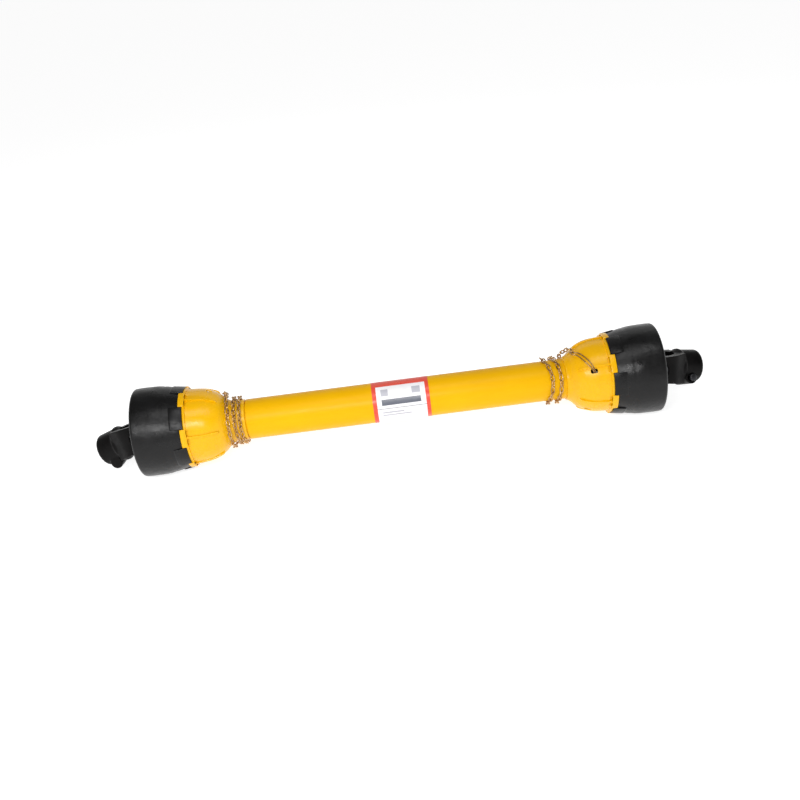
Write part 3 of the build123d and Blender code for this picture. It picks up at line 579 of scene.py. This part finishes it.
def finished(piece, material, body, slot, *stands_for):
    """Gives a piece its finish and its body, and hides the nodes that it stands for; the slot is not used."""
    piece.data.materials.clear()
    piece.data.materials.append(material)
    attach(piece, body)
    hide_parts(*stands_for)


# Lines

def eased(points, steps):
    """A smooth line through (set-back, radius) points, with steps from each to the next."""
    line = []
    last = len(points) - 1
    for index in range(last):
        before = Vector(points[max(index - 1, 0)])
        here = Vector(points[index])
        there = Vector(points[index + 1])
        after = Vector(points[min(index + 2, last)])
        leave = (there - before) / 2
        arrive = (after - here) / 2
        for step in range(steps):
            share = step / steps
            square = share * share
            cube = square * share
            line.append(here * (2 * cube - 3 * square + 1) + leave * (cube - 2 * square + share)
                        + there * (3 * square - 2 * cube) + arrive * (cube - square))
    line.append(Vector(points[-1]))
    return [tuple(point) for point in line]


def radius_at(outline, set_back):
    """The radius of an outline of (set-back, radius) points at a set-back."""
    for (near, near_radius), (far, far_radius) in zip(outline, outline[1:]):
        if min(near, far) <= set_back <= max(near, far):
            return near_radius + (set_back - near) / (far - near) * (far_radius - near_radius)
    return outline[0][1] if set_back < outline[0][0] else outline[-1][1]


def inset(outline, depth):
    """An outline moved inwards by a depth, square to its own slope at each point."""
    moved = []
    for index, (set_back, radius) in enumerate(outline):
        before = Vector(outline[max(index - 1, 0)])
        run = Vector(outline[min(index + 1, len(outline) - 1)]) - before
        side = 1.0 if run.x > 0 else -1.0
        moved.append((set_back + side * depth * run.y / run.length,
                      radius - side * depth * run.x / run.length))
    return moved


def outwards(points):
    """Set-backs turned into places along +X of the end frame."""
    return [(-set_back, radius) for set_back, radius in points]


# The guard

def bell_piece(side):
    """A yellow bell: its turned wall, castellated tabs, ribs, pockets, windows and chain hole."""
    curve = eased(BELL, 3)
    outer = [point for point in curve if point[0] > 80.0]
    inner = [point for point in inset(curve, BELL_WALL) if point[1] > 38.5]
    bore, neck, neck_end = (GUARD_RADIUS, 36.6, 147.2) if side == "right" else (INNER_RADIUS, 34.4, 172.0)
    if side == "left":
        outer = outer[:-1] + [(150.0, neck)]
    section = [(75.6, 66.5), (79.0, 66.5), (79.6, radius_at(curve, 79.6)), *outer,
               (neck_end - 0.8, neck), (neck_end, neck - 0.8), (neck_end, bore + 0.05), (118.0, bore + 0.05),
               (118.0, bore + 2.6), (inner[-1][0] + 2.0, bore + 2.6), *reversed(inner), (75.0, 61.3),
               (75.0, 65.9)]
    wall = turned(f"bell_shell_{side}", outwards(section))
    tab_angle = TAB_ANGLE[side]
    tools = oblong("hole_tool", HOOK_HOLE, HOLE_ANGLE[side], 11.4, 7.4, 46.0, 74.0)
    for turn in (90.0, 270.0):
        joined(tools, oblong("window_tool", WINDOW, tab_angle + turn, 10.0, 11.0, 43.0, 70.0))
    floor = radius_at(curve, POCKET_BACK) - 1.2
    pocket_outline = outwards([(TAB_BACK, 70.0), (POCKET_BACK, 70.0), (POCKET_BACK, floor),
                               (TAB_BACK, floor)])
    pockets = sector("pocket_tool", pocket_outline, tab_angle + POCKET_ASIDE, POCKET_WIDTH)
    joined(pockets, sector("pocket_tool_2", pocket_outline, tab_angle - POCKET_ASIDE, POCKET_WIDTH))
    round_the_shaft(pockets)
    joined(tools, pockets)
    cut(wall, tools)
    softened(wall, 0.35, 1)
    tab = sector("tab", outwards([(TAB_BACK, 63.0), (TAB_BACK, TAB_OUTER), (TAB_TIP, TAB_OUTER),
                                  (TAB_TIP, TAB_INNER), (RIM, TAB_INNER), (RIM, 62.8)]), tab_angle, TAB_WIDTH)
    softened(tab, 0.9, 3)
    tops = [(place, radius_at(curve, place) + rise) for place, rise in RIB]
    roots = [(place, radius_at(curve, place) - 1.4) for place in (78.0, 100.0, 113.0, 130.0)]
    rib = plate("rib", outwards(eased(tops, 3) + roots), tab_angle, 3.0, 360)
    softened(rib, 0.7, 3)
    joined(tab, rib)
    round_the_shaft(tab)
    joined(wall, tab)
    return at_end(wall, side)


def cone_piece(side):
    """A black guard cone: its turned wall with a rounded mouth, and the lugs between the bell's tabs."""
    curve = eased(CONE, 5)
    outer = [(place, radius - (0.4 if abs(place - 40.5) < 1.6 else 0.0)) for place, radius in curve]
    inner = inset(curve, CONE_WALL)
    lip = [(-6.0 - 5.0 * sin(radians(turn)), 70.0 + 5.0 * cos(radians(turn))) for turn in range(15, 91, 15)]
    section = [(87.9, 56.4), (87.9, 59.4), (74.9, 59.4), (74.9, 65.5), (68.7, 65.5), *outer, *lip,
               (-10.0, 69.2), *reversed(inner), (71.7, inner[0][1] - 1.2), (71.7, 56.4)]
    wall = turned(f"cone_shell_{side}", outwards(section))
    softened(wall, 0.5, 2)
    crest = radius_at(curve, LUG_FRONT)
    lug = sector("lug", outwards([(74.9, 64.4), (74.9, TAB_OUTER), (LUG_FRONT + 3.0, crest + 0.8),
                                  (LUG_FRONT, crest - 0.4), (LUG_FRONT + 1.0, 68.0)]),
                 TAB_ANGLE[side] + TAB_PITCH / 2, TAB_PITCH - TAB_WIDTH - 1.2)
    softened(lug, 1.0, 3)
    round_the_shaft(lug)
    joined(wall, lug)
    return at_end(wall, side)


def tube_piece(name, bore, radius, ends):
    """A smooth guard tube with rounded ends between two places along the shaft."""
    low, high = ends
    tube = turned(name, [(low, bore), (low, radius), (high, radius), (high, bore)])
    softened(tube, 0.5, 3)
    return on_the_line(tube)


def label_piece():
    """The printed film, cut flat as a fine grid and wrapped round the guard tube."""
    wrap = radians(LABEL_WRAP)
    bpy.ops.object.select_all(action="DESELECT")
    bpy.ops.mesh.primitive_grid_add(x_subdivisions=24, y_subdivisions=125, size=1.0)
    film = started("label_film")
    bpy.ops.transform.resize(value=(LABEL_LENGTH * MM, wrap, 1.0), center_override=(0.0, 0.0, 0.0))
    bpy.ops.transform.translate(value=(LABEL_MIDDLE * MM, 0.0, 0.0))
    bpy.ops.object.mode_set(mode="OBJECT")
    radius = (GUARD_RADIUS + LABEL_LIFT) * MM
    for corner in film.data.vertices:
        turn = radians(LABEL_FACING) + corner.co.y
        corner.co = Vector((corner.co.x, radius * cos(turn), radius * sin(turn)))
    bpy.ops.object.mode_set(mode="EDIT")
    closed_up()
    alone(film)
    thickness = film.modifiers.new("thickness", "SOLIDIFY")
    thickness.thickness = LABEL_THICKNESS * MM
    thickness.offset = 1.0
    bpy.ops.object.modifier_apply(modifier=thickness.name)
    bpy.ops.object.shade_smooth_by_angle(angle=radians(40.0))
    return on_the_line(film)


# Chains and hooks

def link_piece():
    """One link: a small ring of wire, its two halves drawn apart along X."""
    bpy.ops.object.select_all(action="DESELECT")
    half = (LINK_WIDTH - WIRE) / 2
    bpy.ops.mesh.primitive_torus_add(major_radius=half * MM, minor_radius=WIRE / 2 * MM,
                                     major_segments=16, minor_segments=7)
    link = started("link")
    bpy.ops.object.mode_set(mode="OBJECT")
    stretch = (LINK_PITCH / 2 - half) * MM
    for corner in link.data.vertices:
        if abs(corner.co.x) > 0.0001:
            corner.co.x += stretch if corner.co.x > 0 else -stretch
    bpy.ops.object.shade_smooth()
    return link


def route_point(side, turn):
    """A point of the chain's route at a number of turns, in millimetres."""
    route = ROUTE[side]
    for (near, near_back, near_lift), (far, far_back, far_lift) in zip(route, route[1:]):
        if turn <= far:
            break
    share = (1 - cos(pi * min(max((turn - near) / (far - near), 0.0), 1.0))) / 2
    set_back = near_back + share * (far_back - near_back)
    lift = near_lift + share * (far_lift - near_lift)
    reach = (LINK_WIDTH - WIRE) / 2 * cos(pi / 4) + WIRE / 2
    places = [set_back - reach + LINK_PITCH * part for part in (-0.5, -0.25, 0.0, 0.25, 0.5)]
    radius = sum(radius_at(UNDER[side], place) for place in places) / 5 + reach + CHAIN_GAP + lift
    angle = radians(HOLE_ANGLE[side] - HOOK_SWEEP - 360.0 * turn)
    return Vector((-set_back, radius * cos(angle), radius * sin(angle)))


def chain_piece(side):
    """The chain of one end: copies of one link along its route, each a quarter turn from the last."""
    link = link_piece()
    copies = []
    turn = 0.0
    step = 0.0005
    place = route_point(side, turn)
    while turn < ROUTE[side][-1][0]:
        tangent = (route_point(side, turn + step) - place).normalized()
        out = Vector((0.0, place.y, place.z)).normalized()
        out = (out - tangent * out.dot(tangent)).normalized()
        flat = tangent.cross(out)
        lean = 45.0 * min(len(copies) / 4, 1.0) + 90.0 * (len(copies) % 2)
        frame_turn = Matrix((tangent, flat.cross(tangent), flat)).transposed().to_4x4()
        twin = bpy.data.objects.new("link", link.data.copy())
        bpy.context.scene.collection.objects.link(twin)
        twin.data.transform(Matrix.Translation(place * MM) @ frame_turn
                            @ Matrix.Rotation(radians(lean), 4, "X"))
        copies.append(twin)
        last = place
        while (place - last).length < LINK_SPACING:
            turn += step
            place = route_point(side, turn)
    bpy.data.objects.remove(link)
    joined(*copies)
    copies[0].name = f"chain_links_{side}"
    return at_end(copies[0], side)


def hook_piece(side):
    """The long wire loop from the chain's first link to its hole in the bell."""
    first = route_point(side, 0.0)
    back = (first - route_point(side, 0.01)).normalized()
    middle = [first + back * (LINK_PITCH / 2 - HOOK_WIRE), first + back * (LINK_PITCH + 0.6)]
    for share, lift in HOOK_RISE:
        set_back = HOOK_START + share * (HOOK_HOLE - HOOK_START)
        angle = radians(HOLE_ANGLE[side] - HOOK_SWEEP * (1 - share))
        radius = radius_at(UNDER[side], set_back - 2.0) + lift
        middle.append(Vector((-set_back, radius * cos(angle), radius * sin(angle))))
    half = (HOOK_WIDTH - HOOK_WIRE) / 2
    left = []
    right = []
    for index, place in enumerate(middle):
        run = middle[min(index + 1, len(middle) - 1)] - middle[max(index - 1, 0)]
        aside = run.cross(Vector((0.0, place.y, place.z))).normalized()
        reach = half * (0.45 if index > len(middle) - 3 else 1.0)
        left.append(place + aside * reach)
        right.append(place - aside * reach)
    closing = (left[0] - right[0]).normalized() * (HOOK_WIRE + 0.3)
    line = bpy.data.curves.new(f"hook_wire_{side}", "CURVE")
    line.dimensions = "3D"
    line.bevel_depth = HOOK_WIRE / 2 * MM
    line.bevel_resolution = 3
    line.resolution_u = 8
    line.use_fill_caps = True
    wire = line.splines.new("NURBS")
    points = [*left, *reversed(right), left[0] - closing]
    wire.points.add(len(points) - 1)
    for point, place in zip(wire.points, points):
        point.co = (*(place * MM), 1.0)
    wire.order_u = 3
    wire.use_endpoint_u = True
    hook = bpy.data.objects.new(f"hook_wire_{side}", line)
    bpy.context.scene.collection.objects.link(hook)
    alone(hook)
    bpy.ops.object.convert(target="MESH")
    bpy.ops.object.shade_smooth_by_angle(angle=radians(40.0))
    return at_end(bpy.context.object, side)


# The forgings

def forging(name, node, fineness):
    """A yoke's bored form, given the soft edges and skin of a drop forging."""
    piece = bpy.data.objects.new(name, nodes[node].data.copy())
    bpy.context.scene.collection.objects.link(piece)
    alone(piece)
    bpy.ops.object.mode_set(mode="EDIT")
    closed_up()
    skin = piece.modifiers.new("skin", "REMESH")
    skin.mode = "VOXEL"
    skin.voxel_size = fineness * MM
    skin.use_smooth_shade = True
    bpy.ops.object.modifier_apply(modifier=skin.name)
    worn = piece.modifiers.new("worn", "SMOOTH")
    worn.factor = 0.5
    worn.iterations = 5
    bpy.ops.object.modifier_apply(modifier=worn.name)
    return piece


def bored_for_pin(piece, side):
    """Bores the locking pin's hole again, which the forged skin leaves too narrow for the pin."""
    joint = next(joint for joint in frame["joints"] if joint["name"] == f"push_pin_{side}")
    outwards_line = -Vector(joint["axis"]).normalized()
    low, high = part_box(f"push_pin_{side}")
    middle = (Vector(low) + Vector(high)) / 2
    depth = (PIN_HOLE_TOP - PIN_HOLE_FLOOR) * MM
    place = middle + outwards_line * ((PIN_HOLE_TOP + PIN_HOLE_FLOOR) / 2 * MM)
    turn = outwards_line.to_track_quat("Z", "Y").to_euler()
    bpy.ops.object.select_all(action="DESELECT")
    bpy.ops.mesh.primitive_cylinder_add(vertices=72, radius=PIN_HOLE_RADIUS * MM, depth=depth,
                                        location=place, rotation=turn)
    drill = started("pin_drill")
    closed_up()
    cut(piece, drill)
    return piece


# The whole portrait

photographers_camera()
studio()
bell_yellow = guard_yellow("moulded_yellow", 0.28, 0.2, 0.34, 0.16)
tube_yellow = guard_yellow("extruded_yellow", 0.12, 0.3, 0.42, 0.1)
black = soft_black()
forged = forged_black()
gold = passivated_gold()
film = printed_film()
bright = machined_steel("bright_steel", (0.66, 0.66, 0.67), 0.22)
tube_steel = machined_steel("drawn_tube_steel", (0.34, 0.35, 0.37), 0.36)
spring_steel = machined_steel("spring_steel", (0.16, 0.16, 0.17), 0.34)
pin_black = machined_steel("oxide_black_steel", (0.05, 0.05, 0.055), 0.32)
nylon = natural_nylon()
seal = black_seal()
dressed([("guard_tube", tube_yellow), ("bell", bell_yellow), ("cone", black), ("bearing_ring", nylon),
         ("outer_yoke", forged), ("inner_yoke", forged), ("push_pin", pin_black),
         ("pin_spring", spring_steel), ("cross_seals", seal), ("cross", bright),
         ("grease_nipple", gold), ("outer_cups", bright), ("inner_cups", bright),
         ("outer_circlips", spring_steel), ("inner_circlips", spring_steel),
         ("roll_pin", spring_steel), ("chain", gold), ("outer_drive_tube", tube_steel),
         ("inner_drive_tube", tube_steel), ("label", film)])

for side, guard, drive in (("left", "guard_inner", "drive_inner"), ("right", "guard_outer", "drive_outer")):
    finished(bell_piece(side), bell_yellow, guard, "guard_yellow", f"bell_{side}")
    finished(cone_piece(side), black, guard, "cone_black", f"cone_{side}")
    finished(chain_piece(side), gold, guard, "chain_gold", f"chain_{side}")
    finished(hook_piece(side), gold, guard, "chain_gold", f"chain_hook_{side}")
    outer_forging = bored_for_pin(forging(f"outer_forging_{side}", f"outer_yoke_{side}", 0.9), side)
    finished(outer_forging, forged, f"yoke_{side}", "yoke_black", f"outer_yoke_{side}")
    finished(forging(f"inner_forging_{side}", f"inner_yoke_{side}", 1.1), forged, drive,
             "yoke_black", f"inner_yoke_{side}")
finished(tube_piece("outer_tube_shell", GUARD_BORE, GUARD_RADIUS, OUTER_TUBE), tube_yellow,
         "guard_outer", "guard_yellow", "guard_tube_outer")
finished(tube_piece("inner_tube_shell", INNER_BORE, INNER_RADIUS, INNER_TUBE), tube_yellow,
         "guard_inner", "guard_yellow", "guard_tube_inner")
finished(label_piece(), film, "guard_outer", "label_print", "label")
